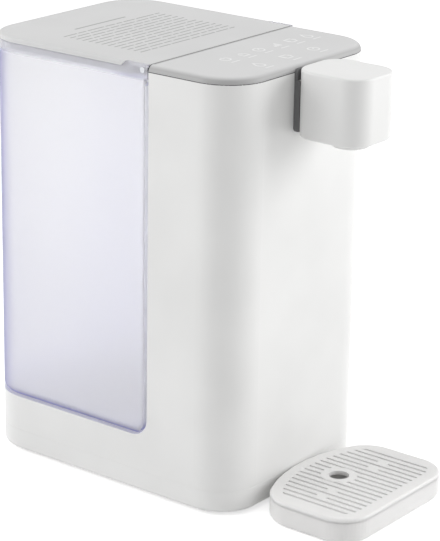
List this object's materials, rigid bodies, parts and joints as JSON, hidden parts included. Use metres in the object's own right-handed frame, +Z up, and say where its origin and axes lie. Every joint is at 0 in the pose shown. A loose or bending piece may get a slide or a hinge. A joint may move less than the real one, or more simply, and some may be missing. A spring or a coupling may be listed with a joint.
{
  "type": "instant hot water dispenser",
  "caption": "Worktop hot water dispenser: white body with pump and heater in its front column, lift-off clear tank under a hinged lid, touch panel, spout head and pull-off drip tray.",
  "frame": {"origin": "on the table under the middle of the whole product, tray included", "axes": "+X across to the right seen from the front, -Y out of the flat front towards the user, +Z up"},
  "size_m": [0.158, 0.305, 0.302],
  "materials": {
    "white_abs": "satin moulded",
    "grey_abs": "fine matte",
    "clear_tank": "lightly frosted, clear",
    "inner_white": "moulded",
    "silicone": "translucent soft",
    "black_rubber": "soft",
    "black_plastic": "moulded",
    "steel": "plain",
    "circuit_board": "lacquered"
  },
  "bodies": {
    "root": {"outer_shell": "white_abs", "base_plate": "white_abs", "rubber_feet": "black_rubber", "base_screws": "steel", "cord_gland": "black_plastic", "base_magnet": "steel", "control_panel": "grey_abs", "touch_board": "circuit_board", "power_board": "circuit_board", "board_screws": "steel", "tank_coupling": "inner_white", "coupling_seal": "silicone", "inlet_hose": "silicone", "flow_meter": "inner_white", "suction_hose": "silicone", "pump_housing": "inner_white", "pump_motor": "steel", "pump_cradle": "black_rubber", "riser_hose": "silicone", "heater_tube": "steel", "heater_caps": "black_plastic", "heater_straps": "steel", "thermal_cutouts": "black_plastic", "temperature_probe": "steel", "outlet_hose": "silicone", "spout_bracket": "inner_white", "outlet_chamber": "silicone", "head_cover": "white_abs", "head_base": "white_abs", "nozzle": "white_abs"},
    "tank": {"tank_shell": "clear_tank", "valve_body": "inner_white", "valve_gasket": "silicone", "strainer_cap": "inner_white", "valve_spring": "steel"},
    "valve": {"valve_poppet": "inner_white"},
    "lid": {"lid_cover": "grey_abs", "lid_skirt": "grey_abs", "lid_hinge_pins": "steel"},
    "tray": {"tray_pan": "white_abs", "tray_magnet": "steel"},
    "grille": {"tray_grille": "white_abs"},
    "pump_wheel": {"pump_rotor": "inner_white"},
    "meter_wheel": {"flow_wheel": "inner_white"}
  },
  "joints": [
    {"name": "tank_lift", "type": "slide", "parent": "root", "child": "tank", "axis": [0, 0, 1], "range_m": [0, 0.27]},
    {"name": "lid_hinge", "type": "hinge", "parent": "tank", "child": "lid", "pos_m": [0, 0.01, 0.298], "axis": [1, 0, 0], "range_deg": [0, 95]},
    {"name": "valve_stroke", "type": "slide", "parent": "tank", "child": "valve", "axis": [0, 0, 1], "range_m": [0, 0.003], "stiffness_N_per_m": 200, "springref_m": -0.01, "deforming": ["valve_spring"]},
    {"name": "tray_pull", "type": "slide", "parent": "root", "child": "tray", "axis": [0, -1, 0], "range_m": [0, 0.12]},
    {"name": "grille_lift", "type": "slide", "parent": "tray", "child": "grille", "axis": [0, 0, 1], "range_m": [0, 0.05]},
    {"name": "pump_spin", "type": "hinge", "parent": "root", "child": "pump_wheel", "pos_m": [-0.0105, -0.0215, 0.024], "axis": [0, 1, 0], "continuous": true},
    {"name": "meter_spin", "type": "hinge", "parent": "root", "child": "meter_wheel", "pos_m": [-0.0105, 0.02575, 0.024], "axis": [0, 1, 0], "continuous": true}
  ]
}
